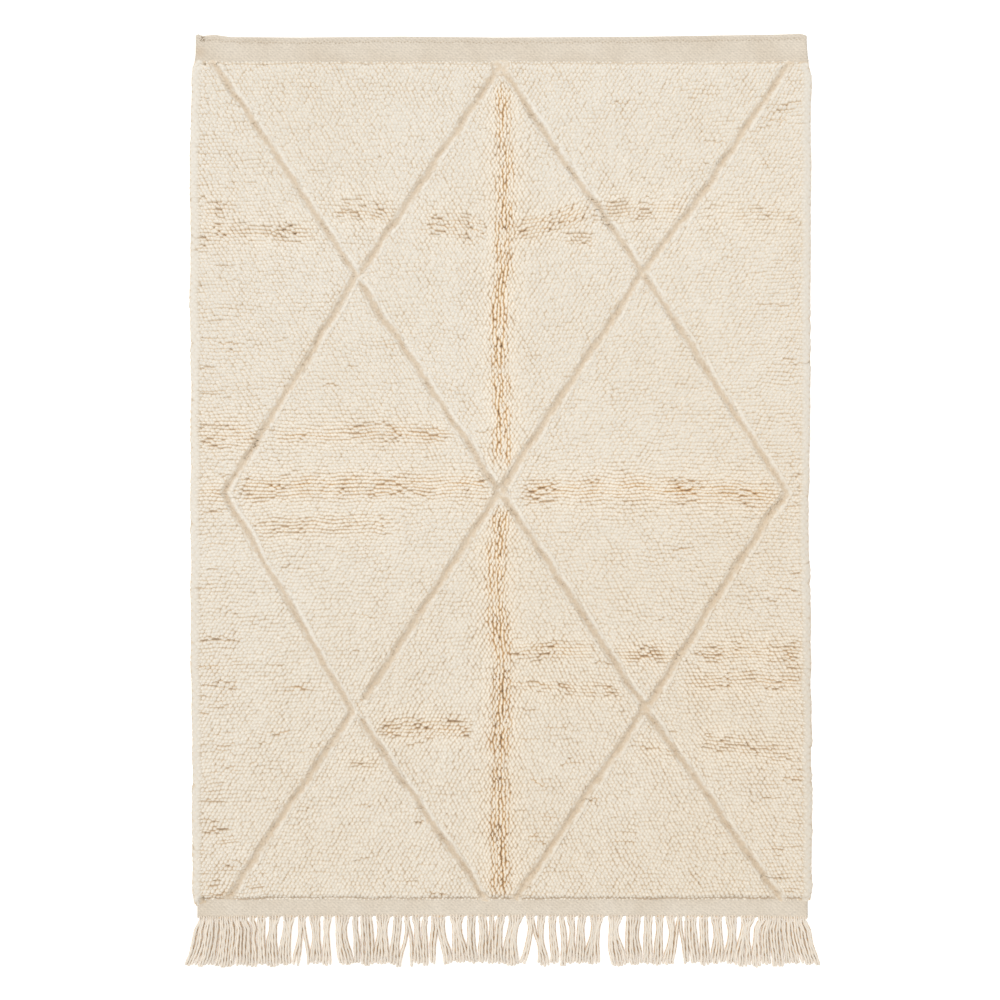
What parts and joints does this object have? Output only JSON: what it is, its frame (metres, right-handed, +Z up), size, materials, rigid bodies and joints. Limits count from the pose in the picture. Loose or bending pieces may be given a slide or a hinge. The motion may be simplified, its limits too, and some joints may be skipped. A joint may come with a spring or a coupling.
{
  "type": "beni ourain rug",
  "caption": "Flat wool rug with a thick cream pile cut by sunken lozenge lines, flat-woven ends and a yarn fringe along one end.",
  "frame": {"origin": "on the floor, under the middle of the rug with its fringe", "axes": "+Z up from the floor, +Y along the rug towards the hemmed end away from the fringe, +X across the rug to the right when the fringe is nearest"},
  "size_m": [1.7467, 2.5627, 0.0223],
  "materials": {
    "pile_wool": "matt undyed wool pile",
    "ground_weave": "matt undyed wool flat weave",
    "fringe_yarn": "matt undyed two-ply wool yarn"
  },
  "bodies": {
    "root": {"rug": "pile_wool", "fringe": "fringe_yarn"}
  },
  "joints": []
}
